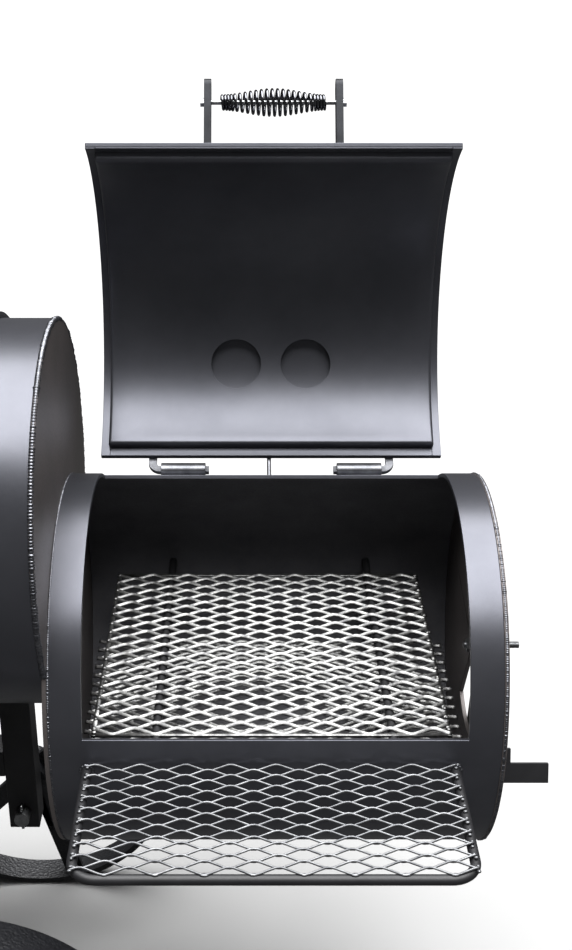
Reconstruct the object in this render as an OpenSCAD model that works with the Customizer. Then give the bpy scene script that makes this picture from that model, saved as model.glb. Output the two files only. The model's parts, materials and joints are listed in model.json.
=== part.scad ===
// Offset smoker: a pipe cooking chamber with a lower pipe firebox welded to its right end,
// on a square-tube cart with two steel wagon wheels.
// +Z is up, +X runs from the stack to the firebox, and the doors face -Y.

/* [Pipes] */
// Outside diameter of the chamber and of the firebox
pipe_d = 508; // [490:1:520]
// Wall of the pipes and of the end plates
wall = 6; // [4:0.5:7]
// Length of the cooking chamber over its end plates
chamber_len = 914; // [860:1:1000]
// Length of the firebox pipe
firebox_len = 560; // [540:1:580]
// Height of the firebox's axis above the floor
firebox_z = 690; // [660:1:720]
// How far the chamber's axis lies above the firebox's axis
chamber_rise = 226.4; // [215:0.1:235]

/* [Doors] */
// Band of pipe left beside the firebox door
firebox_band = 42; // [38:1:50]
// Band of pipe left beside the chamber door
chamber_band = 84; // [80:1:100]
// Lower edge of a door opening, in degrees above the front horizontal
door_low = 8.4; // [7:0.1:10]
// Upper edge of a door opening, in degrees above the front horizontal
door_high = 123.2; // [121:0.1:124]
// How far a lid laps over the shell beside its opening
lid_lap = 8.6; // [7:0.1:10]
// Gap between the shell and the lid's skin
lid_gap = 2.5; // [2.4:0.1:3]
// Angle by which the open firebox lid is turned back
lid_open = 114.7; // [100:0.1:116]

/* [Grates and shelves] */
// Height of the charcoal grate above the firebox's axis
upper_grate_z = 17; // [10:1:24]
// Height of the fire grate below the firebox's axis
fire_grate_drop = 80; // [70:1:100]
// Long way of one diamond of expanded metal
mesh_long = 54; // [50:1:60]
// Short way of one diamond of expanded metal
mesh_short = 23; // [20:1:26]
// Width of a strand of expanded metal
strand = 5; // [4:0.5:6]
// How far the firebox's front shelf reaches from the axis
shelf_reach = 456; // [440:1:470]

/* [Cart] */
// Outside width of the square tube
tube_w = 50; // [44:1:52]
// Outside diameter of the wheels
wheel_d = 482; // [470:1:490]
// Diameter of the stub axles
axle_d = 25; // [22:1:28]
// Diameter of the smoke stack
stack_d = 102; // [96:1:110]
// Height of the stack's mouth above the floor
stack_top = 1750; // [1600:1:1800]

/* [Hidden] */
$fn = 96;

// Pipes. The firebox's middle is at X = 0 and both axes are at Y = 0.
r_out = pipe_d / 2;
r_in = r_out - wall;
chamber_z = firebox_z + chamber_rise;
joint_x = -firebox_len / 2;              // plane where the two pipes meet
chamber_left = joint_x - chamber_len;
chamber_mid = (joint_x + chamber_left) / 2;
firebox_right = firebox_len / 2 + wall;

// Lids
lid_r0 = r_out + lid_gap;
lid_r1 = lid_r0 + wall;
lid_low = door_low - 2.1;
lid_high = door_high + 2;
strip_w = 13;                            // width of the flat bar round a lid's edge
strip_t = 2;
liner_r = 244;                           // inner face of the firebox lid's liner
liner_t = 4;
firebox_door = firebox_len / 2 - firebox_band;   // half the width of each opening
chamber_door = chamber_len / 2 - chamber_band;
firebox_lid_w = firebox_door + lid_lap;          // half the width of each lid
chamber_lid_w = chamber_door + lid_lap;

// Hinges: a bent rod on the lid turns in a tube welded along the shell.
hinge_r = r_out + 12;
hinge_angle = 129.2;
hinge_y = -hinge_r * cos(hinge_angle);
hinge_z = hinge_r * sin(hinge_angle);
hinge_rod_d = 12;
hinge_tube_d = 21;
hinge_bore = hinge_rod_d + 0.16;
hinge_inner = 95;                        // ends of a hinge tube, from the lid's middle
hinge_outer = 159;
hinge_bend = 171.5;

// Spring handles
handle_angle = 10;
bracket_x = 87;
bracket_t = 9.5;
bracket_len = 94;
grip_reach = 62;                         // rod's distance outside the lid's skin
grip_half = 71;
rod_d = 6;

rod_end_angle = 114;                     // where the bent rod ends on the lid
stop_x = -3;

// Firebox lid's liner
liner_hole_x = 51;
liner_hole_angle = 93;
liner_hole_d = 73;

// Thermometer in the chamber's lid
gauge_angle = 38;
gauge_d = 76;
gauge_t = 14;
stem_d = 12;

// Inside the chamber, and its drain
grate_drop = 30;                         // cooking grates' height below the chamber's axis
drain_d = 33;
drain_x = chamber_left + 222.5;
drain_len = 70;

// Front shelf
shelf_bar_d = 12.5;
shelf_half = 235;
shelf_x = -5;                            // middle of the shelf, from the firebox's middle
shelf_bar_z = -6;
shelf_corner = 36;

// Air inlet: a wedge of the firebox's end plate below the damper's pivot
pivot_z = 15;                            // pivot's height above the firebox's axis
inlet_r0 = 16;
inlet_r1 = 135;
inlet_half = 27;
damper_r = 178;
damper_half = 31;
damper_swing = 22;                       // rest position, swung to the front
damper_x = firebox_right + 1;
damper_t = 5;
pivot_d = 10;
bolt_end = firebox_right + 60;           // tip of the pivot bolt, a length of studding
damper_handle_end = firebox_right + 99;

// Stack
stack_x = chamber_left - 90;
stack_wall = 3;
duct_z = chamber_z + 60;
stack_pivot_y = stack_d / 2 + 14;

// Cart
leg_y = 228;
leg_right_x = joint_x - 132.5;
leg_left_x = chamber_left + 132.5;
leg_top = chamber_z - 40;
rail_z = firebox_z - 350;
cross_x = leg_right_x - 130;             // the lower shelf ends on this cross rail
tube_wall = 3;
wheel_r = wheel_d / 2;
wheel_y0 = 295;                          // inner and outer face of a wheel's rim
wheel_w = 50;
rim_t = 10;
hub_d = 52;
hub_w = 64;
hub_y0 = wheel_y0 + (wheel_w - hub_w) / 2;
hub_y1 = hub_y0 + hub_w;
axle_in = leg_y - tube_w / 2 - 24;
axle_out = hub_y1 + 10;
foot_t = 8;
mesh_t = 3;

// Middle of the whole outline, so that the origin lies under the smoker's middle
tow_left = leg_left_x - tube_w / 2 - 190;
outline_x = (stack_x - stack_d / 2 + damper_handle_end) / 2;
outline_y = (-shelf_reach + axle_out) / 2;

module placed() translate([-outline_x, -outline_y, 0]) children();
module at_firebox() placed() translate([0, 0, firebox_z]) children();
module at_chamber() placed() translate([0, 0, chamber_z]) children();
module at_chamber_mid() placed() translate([chamber_mid, 0, chamber_z]) children();

// Turns a firebox lid piece back from its closed place to its open rest.
module opened() translate([0, hinge_y, hinge_z]) rotate([-lid_open, 0, 0])
    translate([0, -hinge_y, -hinge_z]) children();
module at_firebox_lid() at_firebox() opened() children();
module at_pivot() translate([0, 0, pivot_z]) children();

// ---- shapes shared by several pieces ----

// A profile of the Y-Z plane pulled along X
module along_x(x0, x1) translate([x0, 0, 0]) rotate([90, 0, 90])
    linear_extrude(x1 - x0) children();
module rod_x(x0, x1, d) translate([x0, 0, 0]) rotate([0, 90, 0]) cylinder(h = x1 - x0, d = d);
module rod_y(y0, y1, d) translate([0, y0, 0]) rotate([-90, 0, 0]) cylinder(h = y1 - y0, d = d);
module both_sides() for (s = [0, 1]) mirror([s, 0, 0]) children();
module ring(r0, r1) difference() { circle(r1); circle(r0); }

// Pie slice of a pipe's cross-section; angles run up from the front horizontal
function on_arc(r, a) = [-r * cos(a), r * sin(a)];
module slice(r, a0, a1) polygon([[0, 0], for (i = [0 : 6]) on_arc(r, a0 + (a1 - a0) * i / 6)]);
module arc(r0, r1, a0, a1) intersection() { ring(r0, r1); slice(2 * r1, a0, a1); }

// Stands a piece on the pipe's surface at an angle, its Z outwards and its Y up round the arc
module on_surface(a, r = 0) rotate([90 - a, 0, 0]) translate([0, 0, r]) children();

// Straight round bar from p to q, both in the Y-Z plane at x
module bar_yz(x, p, q, d) translate([x, p[0], p[1]])
    rotate([atan2(q[1] - p[1], q[0] - p[0]) - 90, 0, 0]) cylinder(h = norm(q - p), d = d);

// Hexagon nut or bolt head along X, d across its corners
module nut_x(h, d) rotate([0, 90, 0]) cylinder(h = h, d = d, $fn = 6);

module box_between(a, b) translate(a) cube(b - a);

// Sheet of expanded metal in a flat frame, w by d, its corner at the origin
module mesh_sheet(w, d, edge = 6) {
    columns = ceil(w / mesh_long);
    rows = ceil(d / mesh_short);
    linear_extrude(mesh_t) {
        difference() {
            square([w, d]);
            for (i = [0 : columns], j = [0 : 2 * rows])
                translate([(i + (j % 2) / 2) * mesh_long, j * mesh_short / 2]) diamond();
        }
        difference() {
            square([w, d]);
            translate([edge, edge]) square([w - 2 * edge, d - 2 * edge]);
        }
    }
}
module diamond() {
    a = mesh_long / 2 - 1.4 * strand;
    b = mesh_short / 2 - 0.6 * strand;
    polygon([[-a, 0], [0, -b], [a, 0], [0, b]]);
}

// ---- the two pipes ----

module chamber_shell() color("#4a4b52") at_chamber() difference() {
    along_x(chamber_left + wall, joint_x - wall) ring(r_in, r_out);
    translate([chamber_mid, 0, 0]) along_x(-chamber_door, chamber_door)
        slice(2 * r_out, door_low, door_high);
    translate([drain_x, 0, -r_out - 1]) cylinder(h = 2 * wall, d = drain_d);
}

module chamber_end_right() color("#55545a") difference() {
    at_chamber() rod_x(joint_x - wall, joint_x, pipe_d);
    // throat: the part of the firebox's bore that lies inside the chamber
    intersection() {
        at_firebox() rod_x(joint_x - wall - 1, joint_x + 1, 2 * r_in - 20);
        at_chamber() rod_x(joint_x - wall - 1, joint_x + 1, 2 * r_in - 20);
        at_firebox() box_between([joint_x - wall - 1, -r_out, -r_out],
                                 [joint_x + 1, r_out, chamber_rise - 62]);
    }
}

module chamber_end_left() color("#4a4b52") difference() {
    at_chamber() rod_x(chamber_left, chamber_left + wall, pipe_d);
    placed() translate([0, 0, duct_z]) rod_x(chamber_left - 1, chamber_left + wall + 1,
                                             stack_d - 2 * stack_wall);
}

module firebox_shell() color("#4a4b52") at_firebox() difference() {
    along_x(joint_x, firebox_len / 2) ring(r_in, r_out);
    along_x(-firebox_door, firebox_door) slice(2 * r_out, door_low, door_high);
}

module firebox_end_right() color("#45464c") at_firebox() difference() {
    rod_x(firebox_len / 2, firebox_right, pipe_d);
    at_pivot() {
        along_x(firebox_len / 2 - 1, firebox_right + 1)
            arc(inlet_r0, inlet_r1, 270 - inlet_half, 270 + inlet_half);
        rod_x(firebox_len / 2 - 1, firebox_right + 1, pivot_d);
    }
}

// Crescent that closes the firebox below the chamber's end plate
module firebox_end_left() color("#3c3d42") difference() {
    at_firebox() rod_x(joint_x - wall, joint_x, pipe_d);
    at_chamber() rod_x(joint_x - wall - 1, joint_x + 1, pipe_d);
}

// ---- hinges and lids, for a door whose middle is at X = 0 ----

module hinge_tubes() both_sides() difference() {
    union() {
        translate([0, hinge_y, hinge_z]) rod_x(hinge_inner, hinge_outer, hinge_tube_d);
        on_surface(hinge_angle) box_between([hinge_inner + 2, -4, r_out],
                                            [hinge_outer - 2, 4, hinge_r - 8]);
    }
    translate([0, hinge_y, hinge_z]) rod_x(hinge_inner - 1, hinge_outer + 1, hinge_bore);
}

module lid_skin(half) along_x(-half, half) arc(lid_r0, lid_r1, lid_low, lid_high);

module lid_strips(half) {
    turn = 2.9;                          // the strip's width as an angle
    seam = 0.4;
    both_sides() along_x(half - strip_w, half)
        arc(lid_r0 - strip_t, lid_r0, lid_low, lid_high);
    for (a = [lid_low, lid_high - turn])
        along_x(-half + strip_w + seam, half - strip_w - seam)
            arc(lid_r0 - strip_t, lid_r0, a, a + turn);
}

// Bent rod: its end turns in the tube, then it bends round and lies on the lid's skin.
module hinge_rods() {
    bend = 11;
    lid_end = on_arc(lid_r1 + hinge_rod_d / 2, rod_end_angle);
    rise = [lid_end[0] - hinge_y, lid_end[1] - hinge_z];
    both_sides() difference() {
        translate([0, hinge_y, hinge_z]) rotate([atan2(rise[1], rise[0]), 0, 0]) {
            rod_x(hinge_inner - 5, hinge_bend - bend, hinge_rod_d);
            translate([hinge_bend - bend, bend, 0]) rotate(-90) rotate_extrude(angle = 90)
                translate([bend, 0]) circle(d = hinge_rod_d);
            translate([hinge_bend, 0, 0]) rod_y(bend, norm(rise), hinge_rod_d);
        }
        rod_x(-hinge_bend - 20, hinge_bend + 20, 2 * lid_r1, $fn = 960);
    }
}

// Thin rod that meets the shell when the lid is fully open
module lid_stop() difference() {
    bar_yz(stop_x, [hinge_y - 8, hinge_z - 8], [hinge_y - 8, hinge_z - 8] + 90 * [0.81, 0.586], rod_d);
    rod_x(-10, 10, pipe_d + 1);
    opened() rod_x(-10, 10, 2 * lid_r1);
}

module handle_brackets() both_sides() on_surface(handle_angle)
    along_x(bracket_x - bracket_t / 2, bracket_x + bracket_t / 2) difference() {
        union() {
            translate([-12, lid_r1 - 6]) square([24, bracket_len - 6]);
            translate([0, lid_r1 + bracket_len - 12]) circle(12);
        }
        circle(lid_r1);
        translate([0, lid_r1 + grip_reach]) circle(d = rod_d);
    }

module handle_rod() on_surface(handle_angle, lid_r1 + grip_reach) {
    rod_x(-97, 97, rod_d);
    both_sides() translate([bracket_x + bracket_t / 2, 0, 0]) nut_x(5, 12);
}

// Outline of the barrel spring, with a small bore at each end
module handle_spring() on_surface(handle_angle, lid_r1 + grip_reach) rotate([0, 90, 0])
    rotate_extrude() polygon(concat(
        [for (i = [-12 : 12]) [10.5 + 8 * pow(cos(i * 7.5), 2), grip_half * i / 12]],
        [[rod_d / 2 + 0.08, grip_half], [rod_d / 2 + 0.08, grip_half - 4]],
        [for (i = [11 : -1 : -11]) [7 + 8 * pow(cos(i * 7.5), 2), grip_half * i / 12]],
        [[rod_d / 2 + 0.08, -grip_half + 4], [rod_d / 2 + 0.08, -grip_half]]));

module firebox_hinge_tubes() color("#3f4045") at_firebox() hinge_tubes();
module firebox_lid_skin() color("#4a4b52") at_firebox_lid() lid_skin(firebox_lid_w);
module firebox_lid_strips() color("#34353a") at_firebox_lid() lid_strips(firebox_lid_w);
module firebox_lid_hinge_rods() color("#5b5c60") at_firebox_lid() hinge_rods();
module firebox_lid_stop() color("#5b5c60") at_firebox() lid_stop();
module firebox_handle_brackets() color("#6d6e72") at_firebox_lid() handle_brackets();
module firebox_handle_rod() color("#9a9a9a") at_firebox_lid() handle_rod();
module firebox_handle_spring() color("silver") at_firebox_lid() handle_spring();

// Heat shield pan inside the firebox lid, with two round holes
module firebox_lid_liner() color("#2c2d31") at_firebox_lid() {
    half = firebox_door - 4.5;
    low = door_low + 1.2;
    high = door_high - 1.3;
    difference() {
        along_x(-half, half) arc(liner_r, lid_r0, low, high);
        along_x(-half + liner_t, half - liner_t)
            arc(liner_r + liner_t, lid_r0 + 1, low + 0.9, high - 0.9);
        both_sides() on_surface(liner_hole_angle) translate([liner_hole_x, 0, liner_r - 5])
            cylinder(h = 12, d = liner_hole_d);
    }
}

module chamber_hinge_tubes() color("#3f4045") at_chamber_mid() hinge_tubes();
module chamber_lid_skin() color("#4a4b52") at_chamber_mid() difference() {
    lid_skin(chamber_lid_w);
    on_surface(gauge_angle, lid_r0 - 1) cylinder(h = wall + 2, d = stem_d);
}
module chamber_lid_strips() color("#34353a") at_chamber_mid() lid_strips(chamber_lid_w);
module chamber_lid_hinge_rods() color("#5b5c60") at_chamber_mid() hinge_rods();
module chamber_lid_stop() color("#5b5c60") at_chamber_mid() closed_again() lid_stop();
module chamber_handle_brackets() color("#6d6e72") at_chamber_mid() handle_brackets();
module chamber_handle_rod() color("#9a9a9a") at_chamber_mid() handle_rod();
module chamber_handle_spring() color("silver") at_chamber_mid() handle_spring();

// The stop is drawn where it stands with the lid open; this turns it shut.
module closed_again() translate([0, hinge_y, hinge_z]) rotate([lid_open, 0, 0])
    translate([0, -hinge_y, -hinge_z]) children();

// ---- thermometer in the chamber's lid ----

module thermometer_case() color("silver") at_chamber_mid() on_surface(gauge_angle, lid_r1) {
    difference() {
        translate([0, 0, 4]) cylinder(h = gauge_t, d = gauge_d);
        translate([0, 0, 8]) cylinder(h = gauge_t, d = gauge_d - 5);
        translate([0, 0, 3]) cylinder(h = gauge_t, d = 3.1);
    }
    translate([0, 0, -wall - 8]) difference() {
        cylinder(h = wall + 12, d = stem_d);
        translate([0, 0, 15]) cylinder(h = wall + 12, d = 3.1);
    }
    cylinder(h = 4, d = 20);
    translate([0, 0, -100]) cylinder(h = 100 - wall - 8, d = 6);
}
module thermometer_glass() color("#d8e4e8") at_chamber_mid()
    on_surface(gauge_angle, lid_r1 + gauge_t + 0.5) cylinder(h = 2.5, d = gauge_d - 5);
// Needle at the cold end of its scale
module thermometer_needle() color("#c0281c") at_chamber_mid()
    on_surface(gauge_angle, lid_r1 + 9.4) rotate(135) {
        translate([-1, -9, 0]) cube([2, 37, 1]);
        cylinder(h = 1, d = 8);
        translate([0, 0, -3]) cylinder(h = 5, d = 3);
    }

// ---- inside the pipes ----

module chamber_grate_bars() color("#2b2c30") at_chamber() for (y = [-150, 150])
    translate([0, y, -grate_drop - 6]) rod_x(chamber_left + wall, joint_x - wall, 12);

module cooking_grate(x) at_chamber() translate([x, -205, -grate_drop])
    mesh_sheet(chamber_door - 8, 395, 8);
module cooking_grate_left() color("#9b9c9e") cooking_grate(chamber_mid - chamber_door + 6);
module cooking_grate_right() color("#9b9c9e") cooking_grate(chamber_mid + 2);

// Deflector that slopes down from the throat, with holes that spread the heat
module heat_baffle() color("#2b2c30") at_chamber() difference() {
    translate([joint_x - wall, 0, -55]) rotate([0, -12, 0]) difference() {
        box_between([-190, -150, -4], [4, 150, 0]);
        for (x = [-165 : 30 : -45], y = [-110 : 55 : 110])
            translate([x, y, -5]) cylinder(h = 6, d = 16);
    }
    rod_x(joint_x - wall, joint_x + 10, pipe_d);
}

// Bars from the front wall to the rear wall under each of the firebox's grates
module firebox_grate_bars() color("#2b2c30") at_firebox()
    for (z = [upper_grate_z - 6, -fire_grate_drop - 6], x = [-150, 150]) {
        half = sqrt(pow(r_in, 2) - pow(abs(z) + 6, 2)) - 0.4;
        translate([x, 0, z]) rod_y(-half, half, 12);
    }
module upper_grate() color("#c4c5c6") at_firebox() translate([-232, -215, upper_grate_z])
    mesh_sheet(456, 411, 7);
module fire_grate() color("#a9aaab") at_firebox() translate([-262, -170, -fire_grate_drop])
    mesh_sheet(524, 335, 6);

// ---- shelf in front of the firebox ----

module front_shelf_bar() color("#3a3b40") at_firebox() translate([shelf_x, 0, shelf_bar_z])
    difference() {
        union() {
            both_sides() {
                translate([shelf_half - shelf_bar_d / 2, 0, 0])
                    rod_y(-shelf_reach + shelf_corner, -r_out + 8, shelf_bar_d);
                translate([shelf_half - shelf_corner, -shelf_reach + shelf_corner, 0])
                    rotate(-90) rotate_extrude(angle = 90)
                        translate([shelf_corner - shelf_bar_d / 2, 0]) circle(d = shelf_bar_d);
            }
            translate([0, -shelf_reach + shelf_bar_d / 2, 0])
                rod_x(-shelf_half + shelf_corner, shelf_half - shelf_corner, shelf_bar_d);
        }
        translate([0, 0, -shelf_bar_z]) rod_x(-300, 300, pipe_d);
    }

module front_shelf_mesh() color("#77787b") at_firebox() difference() {
    translate([shelf_x - shelf_half + 4, -shelf_reach + 5, shelf_bar_z + shelf_bar_d / 2])
        mesh_sheet(2 * shelf_half - 8, shelf_reach - r_out - 5, 5);
    rod_x(-300, 300, pipe_d);
}

// ---- air inlet damper on the firebox's end plate ----

module air_damper_bolt() color("#8b8c8e") at_firebox() at_pivot() {
    rod_x(firebox_len / 2 - 12, bolt_end, pivot_d);
    for (x = [firebox_len / 2 - 8, damper_x + damper_t + 1]) translate([x, 0, 0]) nut_x(8, 19);
}

module swung() at_pivot() rotate([-damper_swing, 0, 0]) children();
module air_damper_plate() color("#3d3e43") at_firebox() swung() difference() {
    union() {
        along_x(damper_x, damper_x + damper_t)
            arc(1, damper_r, 270 - damper_half, 270 + damper_half);
        rod_x(damper_x, damper_x + damper_t, 40);
    }
    rod_x(damper_x - 1, damper_x + damper_t + 1, pivot_d + 0.16);
}
module air_damper_handle() color("#2c2d31") at_firebox() swung() {
    x0 = damper_x + damper_t;
    box_between([x0, -28, -damper_r - 12], [damper_handle_end, -22, -damper_r + 16]);
    box_between([x0 + 28, -28, -damper_r + 16], [x0 + 40, -22, -damper_r + 37]);
}

// ---- drain and stack ----

module drain_pipe() color("#4a4b50") placed()
    translate([drain_x, 0, chamber_z - r_out - 60]) difference() {
        cylinder(h = drain_len, d = drain_d);
        translate([0, 0, -1]) cylinder(h = drain_len + 2, d = drain_d - 7);
    }

module smoke_stack() color("#45464c") placed() difference() {
    union() {
        translate([stack_x, 0, duct_z - stack_d / 2]) cylinder(h = stack_top - duct_z
                                                                 + stack_d / 2, d = stack_d);
        translate([0, 0, duct_z]) rod_x(stack_x, chamber_left, stack_d);
        translate([stack_x, 0, stack_top - 30]) box_between([-5, stack_d / 2 - 4, 0],
                                                            [5, stack_pivot_y + 8, 30]);
    }
    translate([stack_x, 0, duct_z - stack_d / 2 + stack_wall])
        cylinder(h = stack_top, d = stack_d - 2 * stack_wall);
    translate([0, 0, duct_z]) rod_x(stack_x, chamber_left + 1, stack_d - 2 * stack_wall);
    translate([stack_x, stack_pivot_y, stack_top - 40]) cylinder(h = 50, d = 8);
}

module stack_damper_bolt() color("#8b8c8e") placed()
    translate([stack_x, stack_pivot_y, stack_top - 30]) {
        cylinder(h = 41, d = 8);
        for (z = [-6, 35]) translate([0, 0, z]) cylinder(h = 6, d = 13, $fn = 6);
    }

module stack_damper_plate() color("#3d3e43") placed() translate([stack_x, 0, stack_top + 0.5])
    difference() {
        union() {
            cylinder(h = 4, d = stack_d + 10);
            box_between([-11, 0, 0], [11, stack_pivot_y, 4]);
            translate([0, stack_pivot_y, 0]) cylinder(h = 4, d = 22);
            box_between([-9, -stack_d / 2 - 50, 0], [9, -stack_d / 2 + 5, 4]);
        }
        translate([0, stack_pivot_y, -1]) cylinder(h = 6, d = 8.16);
    }

// ---- cart ----

module tube_z(x, y, z0, z1) translate([x, y, z0]) linear_extrude(z1 - z0) difference() {
    square(tube_w, center = true);
    square(tube_w - 2 * tube_wall, center = true);
}
module tube_x(x0, x1, y, z) translate([0, y, z]) along_x(x0, x1) difference() {
    square(tube_w, center = true);
    square(tube_w - 2 * tube_wall, center = true);
}

module right_leg(y) color("#33343a") placed() difference() {
    tube_z(leg_right_x, y, wheel_r - 34, leg_top);
    translate([0, 0, chamber_z]) rod_x(chamber_left, joint_x, pipe_d);
    translate([leg_right_x, 0, wheel_r]) rod_y(-400, 400, axle_d);
}
module left_leg(y) color("#33343a") placed() difference() {
    tube_z(leg_left_x, y, foot_t, leg_top);
    translate([0, 0, chamber_z]) rod_x(chamber_left, joint_x, pipe_d);
}
module leg_front_right() right_leg(-leg_y);
module leg_rear_right() right_leg(leg_y);
module leg_front_left() left_leg(-leg_y);
module leg_rear_left() left_leg(leg_y);

module foot_plates() color("#2c2d31") placed() for (y = [-leg_y, leg_y])
    box_between([leg_left_x - 50, y - 50, 0], [leg_left_x + 50, y + 50, foot_t]);

module side_rails() color("#33343a") placed() for (y = [-leg_y, leg_y])
    tube_x(leg_left_x + tube_w / 2, leg_right_x - tube_w / 2, y, rail_z);

module cross_rails() color("#33343a") placed() for (x = [leg_left_x, cross_x])
    translate([x, 0, rail_z]) rotate(90) tube_x(-leg_y + tube_w / 2, leg_y - tube_w / 2, 0, 0);

module lower_shelf_mesh() color("#55565a") placed()
    translate([leg_left_x + tube_w / 2 + 2, -leg_y - 20, rail_z + tube_w / 2])
        mesh_sheet(cross_x - leg_left_x - 2, 2 * leg_y + 40, 8);

module tow_handle() color("#3a3b40") placed() translate([0, 0, rail_z]) {
    d = 19;
    corner = 50;
    for (s = [0, 1]) mirror([0, s, 0]) {
        translate([0, leg_y - 10, 0]) rod_x(tow_left + corner, leg_left_x - tube_w / 2, d);
        translate([tow_left + corner, leg_y - 10 - corner, 0]) rotate(90)
            rotate_extrude(angle = 90) translate([corner, 0]) circle(d = d);
    }
    translate([tow_left, 0, 0]) rod_y(-leg_y + 10 + corner, leg_y - 10 - corner, d);
}

module front_and_rear() for (s = [0, 1]) mirror([0, s, 0]) children();

module axles() color("#77787b") placed() translate([leg_right_x, 0, wheel_r])
    front_and_rear() difference() {
        union() {
            rod_y(axle_in, axle_out - 1, axle_d);
            rod_y(hub_y1 + 4, axle_out, axle_d + 14);
        }
        translate([0, axle_in + 8, -30]) cylinder(h = 60, d = 5);
    }
// Spacer tube between leg and hub, and a washer outside the hub
module axle_washers() color("#9a9b9d") placed() translate([leg_right_x, 0, wheel_r])
    front_and_rear() for (span = [[leg_y + tube_w / 2, hub_y0 - 0.6], [hub_y1 + 0.6, hub_y1 + 4]])
        difference() {
            rod_y(span[0], span[1], axle_d + 12);
            rod_y(span[0] - 1, span[1] + 1, axle_d);
        }
module cotter_pins() color("#b9babc") placed() translate([leg_right_x, 0, wheel_r])
    front_and_rear() translate([0, axle_in + 8, 0]) {
        translate([0, 0, -22]) cylinder(h = 38, d = 5);
        translate([0, 0, 20]) rotate([0, 90, 0]) rotate_extrude() translate([5, 0]) circle(d = 3);
    }

// Steel wagon wheel about the Y axis, its hub bored for the axle
module wagon_wheel() translate([leg_right_x, 0, wheel_r]) difference() {
    union() {
        difference() {
            rod_y(wheel_y0, wheel_y0 + wheel_w, wheel_d);
            rod_y(wheel_y0 - 1, wheel_y0 + wheel_w + 1, wheel_d - 2 * rim_t);
        }
        rod_y(hub_y0, hub_y0 + hub_w, hub_d);
        for (a = [15 : 60 : 315]) translate([0, wheel_y0 + wheel_w / 2, 0])
            rotate([0, a, 0]) box_between([20, -5, -16], [wheel_r - rim_t / 2, 5, 16]);
    }
    rod_y(hub_y0 - 1, hub_y0 + hub_w + 1, axle_d + 0.16);
}
module wheel_front() color("#2f3034") placed() mirror([0, 1, 0]) wagon_wheel();
module wheel_rear() color("#2f3034") placed() wagon_wheel();

chamber_shell();
chamber_end_right();
chamber_end_left();
chamber_hinge_tubes();
chamber_grate_bars();
cooking_grate_left();
cooking_grate_right();
heat_baffle();
drain_pipe();
smoke_stack();
stack_damper_bolt();
firebox_shell();
firebox_end_right();
firebox_end_left();
firebox_hinge_tubes();
firebox_grate_bars();
upper_grate();
fire_grate();
front_shelf_bar();
front_shelf_mesh();
air_damper_bolt();
leg_front_right();
leg_rear_right();
leg_front_left();
leg_rear_left();
foot_plates();
side_rails();
cross_rails();
lower_shelf_mesh();
tow_handle();
axles();
axle_washers();
cotter_pins();
firebox_lid_skin();
firebox_lid_strips();
firebox_lid_liner();
firebox_lid_hinge_rods();
firebox_lid_stop();
firebox_handle_brackets();
firebox_handle_rod();
firebox_handle_spring();
chamber_lid_skin();
chamber_lid_strips();
chamber_lid_hinge_rods();
chamber_lid_stop();
chamber_handle_brackets();
chamber_handle_rod();
chamber_handle_spring();
thermometer_case();
thermometer_glass();
thermometer_needle();
air_damper_plate();
air_damper_handle();
stack_damper_plate();
wheel_front();
wheel_rear();
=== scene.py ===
# %% [markdown]
# # An offset smoker
# Two rolled steel pipes of one diameter make it: a cooking chamber, and a firebox welded to its
# end lower down, whose lid stands open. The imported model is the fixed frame. It gives the
# places and sizes below, and each piece made here rides on one of its bodies.

# %% Load the frame
import json
import math
import bpy
import numpy as np
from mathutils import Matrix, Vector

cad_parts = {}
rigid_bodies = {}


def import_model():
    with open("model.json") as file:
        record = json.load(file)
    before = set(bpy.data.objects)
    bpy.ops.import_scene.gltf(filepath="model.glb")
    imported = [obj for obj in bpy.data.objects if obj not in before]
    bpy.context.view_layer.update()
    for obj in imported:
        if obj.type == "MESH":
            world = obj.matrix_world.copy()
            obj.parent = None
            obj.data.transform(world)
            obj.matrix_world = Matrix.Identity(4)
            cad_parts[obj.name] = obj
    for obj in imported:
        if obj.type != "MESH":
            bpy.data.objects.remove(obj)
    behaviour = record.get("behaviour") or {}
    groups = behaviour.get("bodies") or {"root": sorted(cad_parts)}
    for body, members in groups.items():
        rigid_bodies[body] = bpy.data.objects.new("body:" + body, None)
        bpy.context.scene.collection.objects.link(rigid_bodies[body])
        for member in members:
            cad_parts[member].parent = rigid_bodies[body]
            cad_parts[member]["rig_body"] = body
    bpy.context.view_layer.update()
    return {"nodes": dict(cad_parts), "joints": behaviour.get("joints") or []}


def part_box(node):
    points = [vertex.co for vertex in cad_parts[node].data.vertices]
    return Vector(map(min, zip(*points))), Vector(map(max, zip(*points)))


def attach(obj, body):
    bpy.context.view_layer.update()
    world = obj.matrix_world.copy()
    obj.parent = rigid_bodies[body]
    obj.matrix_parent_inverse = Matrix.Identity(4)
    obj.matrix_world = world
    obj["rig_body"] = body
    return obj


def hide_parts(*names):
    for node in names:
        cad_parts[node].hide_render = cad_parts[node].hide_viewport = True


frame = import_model()
rng = np.random.default_rng(11)
MM = 0.001

# %% [markdown]
# ## Places
# The pipes lie along X. Their axes, ends and radii are read from the boxes of their nodes. A
# door opening is as long as its lid, less the lap at each end, and its angles are measured up
# from the front of the pipe.


# %% Axes and radii of the two pipes
class Pipe:
    """Axis height z, middle y, ends x0 and x1 and outer radius r of a pipe along X."""

    def __init__(self, shell):
        low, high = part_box(shell)
        self.x0, self.x1 = low.x, high.x
        self.y, self.z = (low.y + high.y) / 2, (low.z + high.z) / 2
        self.r = (high.y - low.y) / 2
        self.middle = (self.x0 + self.x1) / 2


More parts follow.
